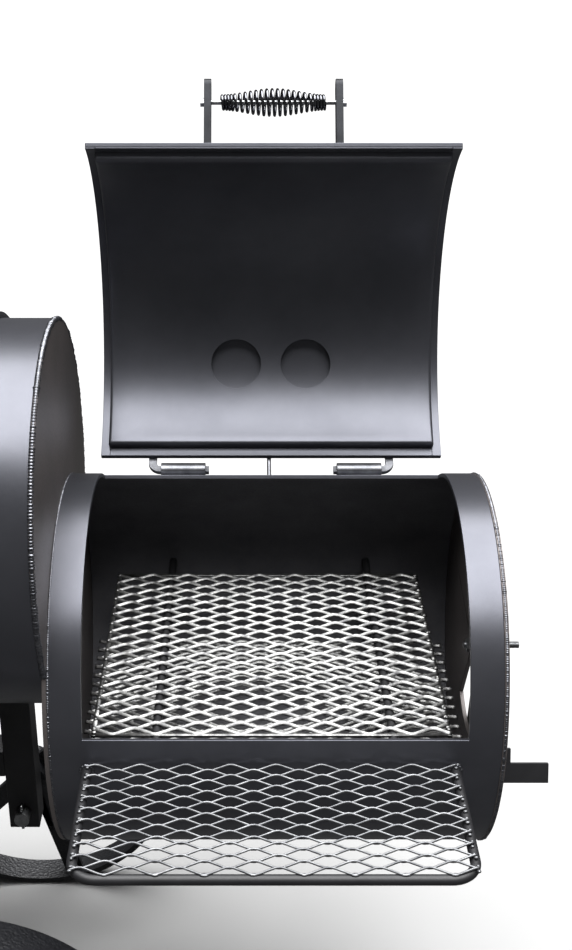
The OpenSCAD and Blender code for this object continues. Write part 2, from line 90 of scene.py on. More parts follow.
firebox = Pipe("firebox_shell")
chamber = Pipe("chamber_shell")
WALL = 6 * MM
LID_LAP = 8.6 * MM
DOOR_LOW, DOOR_HIGH = math.radians(8.4), math.radians(123.2)
ALONG = (1, 0, 0)
SHARP = math.radians(35)       # an edge that turns by more than this is a real edge
print("pipe radius", round(firebox.r * 1000, 1), "mm")

# %% [markdown]
# ## Materials
# Each finish is a small tree of nodes. Colours are given as sRGB hex and turned to linear once.
# Patterns read Object coordinates, which are metres here, so a pattern's Scale is one over its
# size, and every size is given in millimetres. The finest grain of real paint and steel is too
# small to see from here, so grain below about a millimetre is drawn a millimetre coarse.


# %% Node helpers
def linear(hex_colour):
    """sRGB hex to linear RGBA: c/12.92 in the toe, ((c + 0.055)/1.055)^2.4 above it."""
    parts = [int(hex_colour[i:i + 2], 16) / 255 for i in (1, 3, 5)]
    return tuple(c / 12.92 if c <= 0.04045 else ((c + 0.055) / 1.055) ** 2.4
                 for c in parts) + (1.0,)


def add(tree, kind, inputs=None, **settings):
    """Adds a node; inputs maps a socket to a value or to the output that feeds it."""
    made = tree.nodes.new(kind)
    for key, value in settings.items():
        setattr(made, key, value)
    for key, value in (inputs or {}).items():
        if isinstance(value, bpy.types.NodeSocket):
            tree.links.new(value, made.inputs[key])
        else:
            made.inputs[key].default_value = value
    return made


def per(size_mm):
    """Pattern Scale that gives features of this size."""
    return 1000.0 / size_mm


def surface(name, light, dark, metallic, roughness, spread, patch_mm, grain_mm, depth_mm,
            stretch=(1, 1, 1), sockets=None):
    """Principled finish whose colour drifts between dark and light over patch_mm, whose
    roughness wanders by spread, and whose fine relief is grain_mm across and depth_mm high."""
    made = bpy.data.materials.new(name)
    made.use_nodes = True
    tree = made.node_tree
    tree.nodes.clear()
    place = add(tree, "ShaderNodeTexCoord").outputs["Object"]
    place = add(tree, "ShaderNodeMapping", {"Vector": place, "Scale": stretch}).outputs[0]
    patch = add(tree, "ShaderNodeTexNoise",
                {"Vector": place, "Scale": per(patch_mm), "Detail": 5.0, "Roughness": 0.6})
    grain = add(tree, "ShaderNodeTexNoise",
                {"Vector": place, "Scale": per(grain_mm), "Detail": 3.0, "Roughness": 0.55})
    drift = add(tree, "ShaderNodeMapRange", {"Value": patch.outputs[0], "From Min": 0.3,
                                             "From Max": 0.7})
    colour = add(tree, "ShaderNodeMix", {0: drift.outputs[0], 6: linear(dark),
                                         7: linear(light)}, data_type="RGBA")
    rough = add(tree, "ShaderNodeMapRange",
                {"Value": grain.outputs[0], "From Min": 0.3, "From Max": 0.7,
                 "To Min": roughness - spread, "To Max": roughness + spread})
    relief = add(tree, "ShaderNodeBump", {"Height": grain.outputs[0], "Strength": 1.0,
                                          "Distance": depth_mm * MM})
    shader = add(tree, "ShaderNodeBsdfPrincipled",
                 {"Base Color": colour.outputs[2], "Metallic": metallic,
                  "Roughness": rough.outputs[0], "Normal": relief.outputs[0],
                  **(sockets or {})})
    add(tree, "ShaderNodeOutputMaterial", {"Surface": shader.outputs[0]})
    return made


# %% [markdown]
# ### Paint
# The pipes are sprayed with a satin heat-resistant paint. It has a fine aluminium pigment, so
# it shines broadly like worn graphite, and a faint orange peel of about 2 mm. Inside, the same
# paint is dry and dull. The cart is brushed with plain chassis black.

# %% Paint finishes
def pipe_paint():
    """High-heat satin paint on rolled pipe: broad soft shine, faint orange peel."""
    return surface("high_heat_satin_paint_sprayed", "#55565c", "#4b4c52", metallic=0.78,
                   roughness=0.34, spread=0.035, patch_mm=140, grain_mm=2.2, depth_mm=0.035)


def plate_paint_with_painted_light():
    """The same paint on flame-cut plate, a little warmer and duller, and drawn lighter than on
    the pipes as painted light on the flat end faces.
    """
    return surface("high_heat_plate_paint_with_painted_light", "#655f5e", "#585453", metallic=0.6,
                   roughness=0.46, spread=0.04, patch_mm=90, grain_mm=2.0, depth_mm=0.04)


def inner_paint():
    """Overspray inside the pipes: thin and dry, a flat grey that looks black in the shade."""
    return surface("dry_overspray_inside", "#5c5c60", "#4c4c50", metallic=0.2, roughness=0.62,
                   spread=0.08, patch_mm=60, grain_mm=3.0, depth_mm=0.1)


def liner_paint():
    """Sheet-steel liner with satin paint, smoother than the rolled pipe."""
    return surface("satin_paint_on_sheet", "#55565c", "#4b4c52", metallic=0.78, roughness=0.36,
                   spread=0.03, patch_mm=120, grain_mm=1.8, depth_mm=0.02)


def cart_paint():
    """Brushed chassis black over square tube."""
    return surface("chassis_black_brushed", "#202023", "#171719", metallic=0.15, roughness=0.5,
                   spread=0.06, patch_mm=40, grain_mm=1.5, depth_mm=0.06)


def wheel_paint():
    """Black hammer finish: small round dimples of about 4 mm in a thick glossy film, which
    take the place of the fine grain's relief."""
    made = surface("hammered_black_paint", "#26272a", "#17171a", metallic=0.3, roughness=0.4,
                   spread=0.05, patch_mm=4, grain_mm=1.2, depth_mm=0.05)
    tree = made.node_tree
    place = add(tree, "ShaderNodeTexCoord").outputs["Object"]
    dimples = add(tree, "ShaderNodeTexVoronoi", {"Vector": place, "Scale": per(4)},
                  feature="SMOOTH_F1")
    relief = add(tree, "ShaderNodeBump", {"Height": dimples.outputs["Distance"],
                                          "Strength": 1.0, "Distance": 0.9 * MM})
    shader = next(n for n in tree.nodes if n.type == "BSDF_PRINCIPLED")
    tree.nodes.remove(shader.inputs["Normal"].links[0].from_node)
    tree.links.new(relief.outputs[0], shader.inputs["Normal"])
    return made


def weld_paint():
    """Paint pooled over a weld bead, glossier on its ripples."""
    return surface("paint_over_weld_bead", "#7a7b80", "#4c4d52", metallic=0.9, roughness=0.3,
                   spread=0.08, patch_mm=5, grain_mm=1.0, depth_mm=0.08)


# %% [markdown]
# ### Bare and plated steel
# The grates are raw mild steel, sheared and stretched: bright where the knife cut, greyer with
# mill scale elsewhere. The grips are chromed wire, the nuts and axles are zinc plated, and the
# handle brackets are blackened flat bar whose drawing lines run lengthwise.

# %% Metal finishes
def grate_steel():
    """Sheared expanded steel: bright cut faces broken by darker mill scale of about 12 mm."""
    return surface("sheared_mild_steel", "#9b9b99", "#4e4e50", metallic=1.0, roughness=0.42,
                   spread=0.08, patch_mm=12, grain_mm=1.4, depth_mm=0.08)


def shelf_steel():
    """Expanded steel under a thin dull rolling film, greyer than the grates."""
    return surface("rolled_expanded_steel", "#87888a", "#56575a", metallic=1.0, roughness=0.48,
                   spread=0.08, patch_mm=18, grain_mm=1.6, depth_mm=0.08)


def chrome_wire():
    """Chromed spring wire, slightly drawn along its length."""
    return surface("chromed_spring_wire", "#808185", "#515256", metallic=1.0, roughness=0.16,
                   spread=0.03, patch_mm=9, grain_mm=0.8, depth_mm=0.01)


def drawn_bar():
    """Blackened cold-drawn flat bar with fine lines along its length."""
    return surface("cold_drawn_flat_bar", "#26272a", "#1a1b1d", metallic=0.85, roughness=0.4,
                   spread=0.06, patch_mm=20, grain_mm=1.0, depth_mm=0.03, stretch=(1, 1, 0.12))


def hinge_steel():
    """Oiled round bar, mid grey with a soft shine."""
    return surface("oiled_round_bar", "#7c7d81", "#5a5b5f", metallic=0.9, roughness=0.36,
                   spread=0.05, patch_mm=15, grain_mm=1.2, depth_mm=0.03)


def zinc_plate():
    """Bright zinc plating with its faint spangle."""
    return surface("bright_zinc_plate", "#b4b5b6", "#8f9193", metallic=1.0, roughness=0.33,
                   spread=0.07, patch_mm=6, grain_mm=0.9, depth_mm=0.02)


def sooty_steel():
    """Hot-rolled bar and plate left in black mill scale."""
    return surface("black_mill_scale", "#2f2f31", "#1d1d1f", metallic=0.5, roughness=0.5,
                   spread=0.08, patch_mm=20, grain_mm=1.6, depth_mm=0.06)


def gauge_steel():
    """Spun stainless thermometer case."""
    return surface("spun_stainless", "#c3c4c6", "#a8a9ab", metallic=1.0, roughness=0.22,
                   spread=0.04, patch_mm=10, grain_mm=0.6, depth_mm=0.01)


def dial_enamel():
    """White stoved enamel on the thermometer's dial."""
    return surface("white_stoved_enamel", "#f0efe9", "#e6e5df", metallic=0.0, roughness=0.4,
                   spread=0.03, patch_mm=15, grain_mm=1.0, depth_mm=0.01)


def tick_ink():
    """Black printing ink on the dial."""
    return surface("black_dial_ink", "#1b1b1d", "#131315", metallic=0.0, roughness=0.5,
                   spread=0.03, patch_mm=5, grain_mm=1.0, depth_mm=0.005)


def needle_paint():
    """Red lacquer on the needle."""
    return surface("red_lacquer", "#c8321f", "#b02a1a", metallic=0.0, roughness=0.35,
                   spread=0.03, patch_mm=8, grain_mm=1.0, depth_mm=0.005)


def clear_glass():
    """Flat thermometer glass."""
    return surface("flat_gauge_glass", "#fafcfc", "#f2f6f6", metallic=0.0, roughness=0.04,
                   spread=0.01, patch_mm=30, grain_mm=2.0, depth_mm=0.002,
                   sockets={"Transmission Weight": 1.0, "IOR": 1.5})


PIPE, PLATE_WITH_PAINTED_LIGHT, INNER, LINER = pipe_paint(), plate_paint_with_painted_light(), inner_paint(), liner_paint()
CART, WHEEL, WELD = cart_paint(), wheel_paint(), weld_paint()
GRATE, SHELF, CHROME, BAR = grate_steel(), shelf_steel(), chrome_wire(), drawn_bar()
HINGE, ZINC, SOOT = hinge_steel(), zinc_plate(), sooty_steel()
CASE, DIAL, INK, RED, GLASS = (gauge_steel(), dial_enamel(), tick_ink(), needle_paint(),
                               clear_glass())
print(len(bpy.data.materials), "materials")

# %% [markdown]
# ## Building blocks
# A piece is an array of points and an array of faces. Three shapes make nearly everything: a
# rolled sheet with openings, a section carried along a path, and a tidy copy of a CAD node
# whose edges are rounded as a file would leave them. Curve objects could make some of them, but
# in an array each point can be placed, and left out, by a formula.


# %% From arrays to a piece
def piece(name, points, faces, body, materials, face_material=None, caps=()):
    """Makes a mesh object of quads, given as an (n, 4) array, plus any end caps."""
    mesh = bpy.data.meshes.new(name)
    mesh.from_pydata(np.asarray(points).tolist(), [],
                     np.asarray(faces).tolist() + [list(cap) for cap in caps])
    mesh.polygons.foreach_set("use_smooth", [True] * len(mesh.polygons))
    for material in materials:
        mesh.materials.append(material)
    if face_material is not None:
        mesh.polygons.foreach_set("material_index",
                                  list(face_material) + [0] * len(caps))
    mesh.update()
    made = bpy.data.objects.new(name, mesh)
    bpy.context.scene.collection.objects.link(made)
    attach(made, body)
    return made


def rounded(made, width_mm):
    """Rounds the sharp edges, as grinding or a file does."""
    bevel = made.modifiers.new("edges", "BEVEL")
    bevel.width = width_mm * MM
    bevel.segments = 2
    bevel.limit_method = "ANGLE"
    bevel.angle_limit = SHARP
    bevel.harden_normals = True
    bevel.use_clamp_overlap = True
    return made


# %% A section carried along a path
def ring_faces(rings, sides, closed=False):
    """Quads between neighbouring rings of points. closed also joins the last to the first."""
    a = np.arange(rings if closed else rings - 1)[:, None] * sides
    b = (a + sides) % (rings * sides)
    k = np.arange(sides)[None]
    n = (k + 1) % sides
    return np.stack([a + k, a + n, b + n, b + k], -1).reshape(-1, 4)


def end_caps(rings, sides):
    """The first ring turned round and the last ring, each as one face."""
    last = (rings - 1) * sides
    return range(sides)[::-1], range(last, last + sides)


def carried(path, section, side, closed=False):
    """Points and quads of a section carried along a path. At each point the section's first
    axis is side x tangent and its second is side itself, so side must not lie along the path.
    section is (s, 2) for one outline or (n, s, 2) for an outline that changes."""
    path = np.asarray(path, float)
    if closed:
        tangent = np.roll(path, -1, 0) - np.roll(path, 1, 0)
    else:
        tangent = np.gradient(path, axis=0)
    tangent /= np.linalg.norm(tangent, axis=1, keepdims=True)
    side = np.broadcast_to(np.asarray(side, float), path.shape)
    first = np.cross(side, tangent)
    first /= np.linalg.norm(first, axis=1, keepdims=True)
    second = np.cross(tangent, first)
    section = np.broadcast_to(section, (len(path),) + np.shape(section)[-2:])
    points = (path[:, None] + first[:, None] * section[..., :1]
              + second[:, None] * section[..., 1:])
    rings, sides = section.shape[:2]
    caps = () if closed else end_caps(rings, sides)
    return points.reshape(-1, 3), ring_faces(rings, sides, closed), caps


def circle(radius, sides):
    """Round outline of a given radius."""
    turn = np.arange(sides) * 2 * math.pi / sides
    return np.stack([np.cos(turn), np.sin(turn)], -1) * np.asarray(radius)[..., None, None]


def joined(parts):
    """Joins (points, faces, caps) triples into one."""
    points, faces, caps, start = [], [], [], 0
    for some_points, some_faces, some_caps in parts:
        points.append(some_points)
        faces.append(np.asarray(some_faces) + start)
        caps += [[i + start for i in cap] for cap in some_caps]
        start += len(some_points)
    return np.concatenate(points), np.concatenate(faces), caps


# %% A rolled sheet with openings
def rolled_sheet(pipe, xs, angles, keep, r_in, r_out, wrap):
    """Sheet rolled about a pipe's axis: (x, a) goes to (x, y - r cos a, z + r sin a). keep says
    which cells of the grid are metal. The skins take a quad per cell, and a wall closes each
    side of a cell that borders on an opening."""
    nx, na = len(xs), len(angles)
    grid_x, grid_a = np.meshgrid(xs, angles, indexing="ij")

    def skin(r):
        return np.stack([grid_x, pipe.y - r * np.cos(grid_a), pipe.z + r * np.sin(grid_a)], -1)

    points = np.concatenate([skin(r_out).reshape(-1, 3), skin(r_in).reshape(-1, 3)])
    step = nx * na
    i, j = np.nonzero(keep)
    j2 = (j + 1) % na if wrap else j + 1
    corner = [i * na + j, i * na + j2, (i + 1) * na + j2, (i + 1) * na + j]
    outer = np.stack(corner[::-1], -1)
    inner = np.stack(corner, -1) + step
    padded = np.pad(keep, 1)
    if wrap:
        padded[1:-1, 0], padded[1:-1, -1] = keep[:, -1], keep[:, 0]
    walls = []
    for a, b, (di, dj) in [(3, 0, (0, -1)), (1, 2, (0, 1)), (0, 1, (-1, 0)), (2, 3, (1, 0))]:
        bare = ~padded[i + 1 + di, j + 1 + dj]
        walls.append(np.stack([corner[a][bare], corner[b][bare], corner[b][bare] + step,
                               corner[a][bare] + step], -1))
    faces = np.concatenate([outer, inner] + walls)
    inside = np.concatenate([np.zeros(len(outer), int), np.ones(len(inner), int),
                             np.zeros(sum(map(len, walls)), int)])
    used, faces = np.unique(faces, return_inverse=True)
    return points[used], faces.reshape(-1, 4), inside


def tidy_copy(node, material, width_mm=0.8):
    """Copies a node's mesh, merges its corners and rounds its sharp edges."""
    source = frame["nodes"][node]
    mesh = source.data
    points = np.zeros(len(mesh.vertices) * 3)
    mesh.vertices.foreach_get("co", points)
    corners = np.zeros(len(mesh.loops), int)
    mesh.loops.foreach_get("vertex_index", corners)
    places, merged = np.unique(np.round(points.reshape(-1, 3), 6), axis=0, return_inverse=True)
    triangles = merged.reshape(-1)[corners].reshape(-1, 3)
    whole = ((triangles[:, 0] != triangles[:, 1]) & (triangles[:, 1] != triangles[:, 2])
             & (triangles[:, 2] != triangles[:, 0]))
    clean = bpy.data.meshes.new(node + "_finished")
    clean.from_pydata(places.tolist(), [], triangles[whole].tolist())
    clean.polygons.foreach_set("use_smooth", [True] * len(clean.polygons))
    clean.materials.append(material)
    clean.update()
    clean.set_sharp_from_angle(angle=SHARP)
    made = bpy.data.objects.new(node + "_finished", clean)
    bpy.context.scene.collection.objects.link(made)
    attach(made, source["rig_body"])
    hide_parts(node)
    if width_mm:
        rounded(made, width_mm)
    return made


# %% [markdown]
# ## The two pipes
# A pipe is one rolled sheet with its door burnt out. A Boolean could cut the door from a
# cylinder, but it leaves long thin faces that spoil a soft highlight. Here the door is a block
# of cells left out of a grid. The grid has a line on each edge of the door, and cells about
# 12 mm wide round the circle, which keeps the outline round.


# %% Pipe shells
def pipe_shell(name, node, pipe, lid):
    """Full circle of sheet from end to end, with the door's cells left out."""
    low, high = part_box(lid)
    door = (low.x + LID_LAP, high.x - LID_LAP)
    edge = 1 * MM              # a narrow last cell keeps the rounded rim off the long cells
    xs = np.unique(np.concatenate([[pipe.x0, pipe.x0 + edge, pipe.x1 - edge, pipe.x1],
                                   np.linspace(door[0], door[1], 9)]))
    over = np.linspace(DOOR_LOW, DOOR_HIGH, 54)
    under = np.linspace(DOOR_HIGH, DOOR_LOW + 2 * math.pi, 112)[1:-1]
    angles = np.concatenate([over, under])
    middle_x = (xs[1:] + xs[:-1]) / 2
    keep = np.ones((len(xs) - 1, len(angles)), bool)
    in_door = (middle_x > door[0]) & (middle_x < door[1])
    keep[np.ix_(in_door, np.arange(len(angles)) < len(over) - 1)] = False
    points, faces, inside = rolled_sheet(pipe, xs, angles, keep, pipe.r - WALL, pipe.r, True)
    made = piece(name, points, faces, "smoker", [PIPE, INNER], inside)
    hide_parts(node)
    return rounded(made, 0.9)


pipe_shell("firebox_pipe", "firebox_shell", firebox, "firebox_lid_skin")
pipe_shell("chamber_pipe", "chamber_shell", chamber, "chamber_lid_skin")
# The end plates take the plate paint, whose lighter tone is painted light on their flat faces.
for plate in ["firebox_end_right", "firebox_end_left", "chamber_end_right",
              "chamber_end_left"]:
    tidy_copy(plate, PLATE_WITH_PAINTED_LIGHT, 0.9)
print("pipes and end plates made")

# %% [markdown]
# ## Lids
# A lid is a piece of the same pipe, sprung a little larger, with a flat bar welded inside along
# its edges. The bars overlap the shell and close the gap. It turns on two bent rods in tubes
# welded to the pipe. The CAD draws these shapes exactly, so they are copied and their edges
# rounded.

# %% Lid skins, edge bars, hinges and handles
for vessel in ["firebox", "chamber"]:
    tidy_copy(vessel + "_lid_skin", PIPE, 0.9)
    tidy_copy(vessel + "_lid_strips", LINER, 0.5)
    tidy_copy(vessel + "_lid_hinge_rods", HINGE, 0.4)
    tidy_copy(vessel + "_lid_stop", HINGE, 0.3)
    tidy_copy(vessel + "_hinge_tubes", HINGE, 0.6)
    tidy_copy(vessel + "_handle_brackets", BAR, 0.8)
    tidy_copy(vessel + "_handle_rod", ZINC, 0.3)
print("two lids with hinges and handles")

# %% [markdown]
# ## Liner
# The firebox lid carries a liner that shields the skin from the fire. It is one sheet, folded
# back at its border to stand off the lid, with two round holes cut with a hole saw. It is drawn
# shut, on a grid of length and angle, and then turned back about the hinge. A square block of
# the grid round each hole gives way to rings that change from the square to the circle, so the
# holes are truly round.


# %% Sheet with round holes
lid_joint = next(j for j in frame["joints"] if j["name"] == "firebox_lid_hinge")
HINGE_POINT = np.array(lid_joint["pos_m"])
OPEN = math.radians(-lid_joint["range_deg"][0])


def opened(points):
    """Turns shut points back about the hinge: y' = y cos t + z sin t, z' = z cos t - y sin t,
    both from the hinge."""
    from_hinge = points - HINGE_POINT
    y, z = from_hinge[..., 1], from_hinge[..., 2]
    cos, sin = math.cos(OPEN), math.sin(OPEN)
    turned = np.stack([from_hinge[..., 0], y * cos + z * sin, z * cos - y * sin], -1)
    return HINGE_POINT + turned


def block_ring(n):
    """Grid steps (i, j) round the rim of an n by n block, in order."""
    k = np.arange(n)
    return np.concatenate([np.stack([k, 0 * k], -1), np.stack([0 * k + n, k], -1),
                           np.stack([n - k, 0 * k + n], -1), np.stack([0 * k, n - k], -1)])


def liner_sheet():
    """Points (x, y - r cos a, z + r sin a), with r least in the field and greater along the
    folded border. x and hole_x are measured from the firebox's middle."""
    r0, r1, half = 244 * MM, 256 * MM, 233.5 * MM          # field, fold's foot, half length
    a0, a1 = math.radians(9.7), math.radians(121.8)
    hole_x, hole_a, hole_r = 51 * MM, math.radians(93), 36.5 * MM
    side, n = 47 * MM, 12                                  # half a block, and its cells
    fold = np.array([0, 0, 0.5, 1.5, 3]) * MM              # the bend's distance from the edge
    fold_r = np.array([r1, r0 + 3 * MM, r0 + 1.2 * MM, r0 + 0.3 * MM, r0])
    xs = np.concatenate([-half + fold, np.linspace(-half + 3 * MM, -hole_x - side, 7)[1:-1],
                         np.linspace(-hole_x - side, -hole_x + side, n + 1),
                         np.linspace(hole_x - side, hole_x + side, n + 1),
                         np.linspace(hole_x + side, half - 3 * MM, 7)[1:-1],
                         (half - fold)[::-1]])
    turn = side / r0
    angles = np.concatenate([a0 + fold / r0,
                             np.linspace(a0 + 3 * MM / r0, hole_a - turn, 34)[1:-1],
                             np.linspace(hole_a - turn, hole_a + turn, n + 1),
                             np.linspace(hole_a + turn, a1 - 3 * MM / r0, 9)[1:-1],
                             (a1 - fold / r0)[::-1]])

    def rise(count):
        lift = np.full(count, r0)
        lift[:5], lift[-5:] = fold_r, fold_r[::-1]
        return lift

    def place(x, a, r):
        return np.stack([firebox.middle + x, firebox.y - r * np.cos(a),
                         firebox.z + r * np.sin(a)], -1)

    x, a = np.meshgrid(xs, angles, indexing="ij")
    points = [place(x, a, np.maximum.outer(rise(len(xs)), rise(len(angles)))).reshape(-1, 3)]
    cell = np.ones((len(xs) - 1, len(angles) - 1), bool)
    cell[np.ix_([0, -1], [0, -1])] = False
    left = int(np.argmin(abs(xs + hole_x + side)))
    bottom = int(np.argmin(abs(angles - hole_a + turn)))
    faces, total = [], len(points[0])
    for start, centre in ((left, -hole_x), (left + n + 1, hole_x)):
        cell[start:start + n, bottom:bottom + n] = False
        rim = block_ring(n) + [start, bottom]
        dx, da = xs[rim[:, 0]] - centre, (angles[rim[:, 1]] - hole_a) * r0
        shrink = hole_r / np.hypot(dx, da)
        ids = [rim[:, 0] * len(angles) + rim[:, 1]]
        for t in (0.5, 0.85, 1.0):
            f = 1 - t + t * shrink
            points.append(place(centre + dx * f, hole_a + da * f / r0, r0))
            ids.append(total + np.arange(4 * n))
            total += 4 * n
        for outer, inner in zip(ids, ids[1:]):
            faces.append(np.stack([outer, np.roll(outer, -1), np.roll(inner, -1), inner], -1))
    i, j = np.nonzero(cell)
    at = i * len(angles) + j
    faces.append(np.stack([at, at + len(angles), at + len(angles) + 1, at + 1], -1))
    return opened(np.concatenate(points)), np.concatenate(faces)


points, faces = liner_sheet()
places, merged = np.unique(np.round(points, 7), axis=0, return_inverse=True)
liner = piece("lid_liner", places, merged.reshape(-1)[faces], "firebox_lid",
              [LINER])
thick = liner.modifiers.new("sheet", "SOLIDIFY")
thick.thickness = 2 * MM
thick.offset = -1
rounded(liner, 0.4)
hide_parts("firebox_lid_liner")
print("liner of", len(faces), "faces")

# %% [markdown]
# ## Spring grips
# The grip is a barrel spring on a thin rod, which stays cool because air passes through it. A
# Screw modifier makes a helix of one radius and one pitch only. Here the wire follows a
# formula: its radius swells towards the middle, and the four turns at each end lie side by
# side.


# %% Barrel springs
def barrel_spring(name, node, body):
    """Helix (x, r cos t, r sin t), with r = end + swell cos^2, and a pitch that is one wire
    at the ends and opens in the middle."""
    low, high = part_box(node)
    middle = (low + high) / 2
    half = (high.x - low.x) / 2
    wire = 2.0 * MM
    end_r = 10.5 * MM - wire                # middle of the wire in the end turns
    swell = (high.z - low.z) / 2 - wire - end_r
    turns, tight, per_turn = 23, 4, 22
    turn = np.linspace(0, turns, turns * per_turn + 1)
    from_end = np.minimum(turn, turns - turn)
    pitch = np.interp(from_end, [tight - 0.5, tight + 1], [1.0, 1.75])
    along = np.concatenate([[0], np.cumsum((pitch[1:] + pitch[:-1]) / 2)])
    along = (along / along[-1] * 2 - 1) * (half - wire)
    r = end_r + swell * np.cos(along / half * math.pi / 2) ** 2
    path = np.stack([middle.x + along, middle.y + r * np.cos(2 * math.pi * turn),
                     middle.z + r * np.sin(2 * math.pi * turn)], -1)
    points, faces, caps = carried(path, circle(wire, 10), (1, 0, 0))
    made = piece(name, points, faces, body, [CHROME], caps=caps)
    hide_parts(node)
    print(name, "wire", round(float(np.linalg.norm(np.diff(path, axis=0), axis=1).sum()), 2),
          "m")
    return made


barrel_spring("firebox_grip_spring", "firebox_handle_spring", "firebox_grip")
barrel_spring("chamber_grip_spring", "chamber_handle_spring", "chamber_grip")

# %% [markdown]
# ## Expanded metal
# A press slits a sheet in staggered rows and pulls it open, so every strand zigzags and meets
# its neighbours at thick bonds. Here each strand is a ribbon carried along a zigzag with
# flattened tips. Neighbouring strands run in opposite phase and rise and fall by a third of a
# thickness, so that they stack at the bonds as the real ones do, and each leans like a louvre.
# Copies of one diamond would be lighter, but the strands would not run through. Flat bars frame
# the grates, and lumps of weld hold the strands' ends.


# %% Strands of expanded metal
def strands(x0, x1, y0, y1, z, long_way, short_way, width, thick, lean, tip):
    """Strand k runs along X at y = k s/2 + (-1)^k s/4 w(x), where w is a triangle wave of the
    long way, stretched by tip and clipped to +-1. The ribbon's outline is a chamfered
    rectangle turned by lean."""
    count = int((y1 - y0) / (short_way / 2))
    samples = max(int((x1 - x0) / long_way * 16), 8)
    x = np.linspace(x0, x1, samples)
    wave = np.clip(tip * (1 - 4 * np.abs((x / long_way) % 1 - 0.5)), -1, 1)
    wave = np.convolve(np.pad(wave, 1, "edge"), [0.2, 0.6, 0.2], "valid")
    c = 0.3                                  # the chamfer's share of half the side
    w, t = width / 2, thick / 2
    outline = np.array([[-w, -t * (1 - c)], [-w * (1 - c), -t], [w * (1 - c), -t],
                        [w, -t * (1 - c)], [w, t * (1 - c)], [w * (1 - c), t],
                        [-w * (1 - c), t], [-w, t * (1 - c)]])
    turn = np.array([[math.cos(lean), -math.sin(lean)], [math.sin(lean), math.cos(lean)]])
    parts = []
    for k in range(count):
        sign = -1 if k % 2 else 1
        y = y0 + short_way / 4 + k * short_way / 2 + sign * wave * short_way / 4
        y = y + rng.normal(0, 0.15 * MM)
        path = np.stack([x, y, z + sign * wave * thick * 0.35], -1)
        parts.append(carried(path, outline @ turn.T, (0, 0, 1)))
    return parts


def blobs(centres, radii):
    """Small flattened balls of weld metal at the given centres: five rings of eight points,
    the end rings drawn in to small flats."""
    rings, sides, flat = 5, 8, 0.35
    v = np.linspace(0, math.pi, rings)
    u = np.arange(sides) * 2 * math.pi / sides
    ball = np.stack([np.outer(np.sin(v), np.cos(u)), np.outer(np.sin(v), np.sin(u)),
                     np.outer(np.cos(v), np.ones(sides))], -1).reshape(-1, 3)
    quads = ring_faces(rings, sides)[:, [0, 3, 2, 1]]
    ball[:sides] = ball[:sides] * flat + [0, 0, 1 - flat]
    ball[-sides:] = ball[-sides:] * flat - [0, 0, 1 - flat]
    caps = (range(sides), range(len(ball) - 1, len(ball) - 1 - sides, -1))
    return [(ball * radius + centre, quads, caps) for centre, radius in zip(centres, radii)]


STRAND_THICK, BAR_DROP, BAR_HIGH = 2.6 * MM, 2.5 * MM, 4 * MM
LOUVRE = 38                                  # lean of a strand, in degrees


def flat_bar(a, b, width):
    """Straight bar of chamfered rectangular section from a to b."""
    w, h, c = width / 2, BAR_HIGH / 2, 0.6 * MM
    outline = np.array([[-w, -h + c], [-w + c, -h], [w - c, -h], [w, -h + c],
                        [w, h - c], [w - c, h], [-w + c, h], [-w, h - c]])
    return carried(np.linspace(a, b, 5), outline, (0, 0, 1))


def bond_places(strand, rear):
    """Middles of the stretches where a strand lies furthest back, or furthest forward."""
    path = strand[0].reshape(-1, 8, 3).mean(1)
    edge = path[:, 1].max() if rear else path[:, 1].min()
    there = np.pad((np.abs(path[:, 1] - edge) < 0.3 * MM).astype(int), 1)
    start, stop = np.nonzero(np.diff(there) == 1)[0], np.nonzero(np.diff(there) == -1)[0] - 1
    return (path[start] + path[stop]) / 2


def mesh_panel(name, node, material, lean, width=4.4, edge=6.0, tip=1.25, bars=True,
               ways=(54, 23), lump=1.0, tabs=False):
    """Strands over the node's box. Flat bars run round the edge, a lump of weld holds each end
    of a strand, and tabs are the stubs of bonds cut through at the front and rear."""
    low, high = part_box(node)
    z = (low.z + high.z) / 2
    edge = edge * MM
    parts = strands(low.x + 1 * MM, high.x - 1 * MM, low.y + 2 * MM, high.y, z, ways[0] * MM,
                    ways[1] * MM, width * MM, STRAND_THICK, math.radians(lean), tip)
    front, rear = bond_places(parts[0], False), bond_places(parts[-1], True)
    y = np.array([part[0][0, 1] for part in parts])
    if bars:
        for x in (low.x + edge / 2, high.x - edge / 2):
            parts.append(flat_bar((x, low.y, z - BAR_DROP), (x, high.y, z - BAR_DROP), edge))
        for end_y in (low.y + edge / 2, high.y - edge / 2):
            parts.append(flat_bar((low.x, end_y, z - BAR_DROP), (high.x, end_y, z - BAR_DROP),
                                  edge))
    if lump:
        for x in (low.x + edge / 2, high.x - edge / 2):
            centres = np.stack([np.full(len(y), x), y, np.full(len(y), z)], -1)
            centres += rng.normal(0, 0.5 * MM, centres.shape)
            sizes = rng.uniform([3, 2.4, 2], [4.6, 4, 3], (len(y), 3)) * MM * lump
            parts += blobs(centres, sizes)
    if tabs:
        places = np.concatenate([front, rear[::2] + [0, 2 * MM, 0]])
        parts += blobs(places, rng.uniform([4, 2.4, 1.4], [7.5, 3.4, 2], (len(places), 3)) * MM)
    points, faces, caps = joined(parts)
    made = piece(name, points, faces, "smoker", [material], caps=caps)
    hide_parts(node)
    print(name, len(parts), "parts,", len(faces), "faces")
    return made


mesh_panel("upper_grate_mesh", "upper_grate", GRATE, LOUVRE, width=5.2,
           tip=1.15)
mesh_panel("fire_grate_mesh", "fire_grate", GRATE, LOUVRE, width=5.2, tip=1.15,
           bars=False, lump=0)
mesh_panel("front_shelf_top", "front_shelf_mesh", SHELF, -LOUVRE, width=2.9,
           bars=False, ways=(56, 20.5), lump=0.75, tabs=True)
mesh_panel("lower_shelf_top", "lower_shelf_mesh", SHELF, -LOUVRE, width=4.0)
mesh_panel("cooking_grate_left_mesh", "cooking_grate_left", GRATE, LOUVRE)
mesh_panel("cooking_grate_right_mesh", "cooking_grate_right", GRATE, LOUVRE)

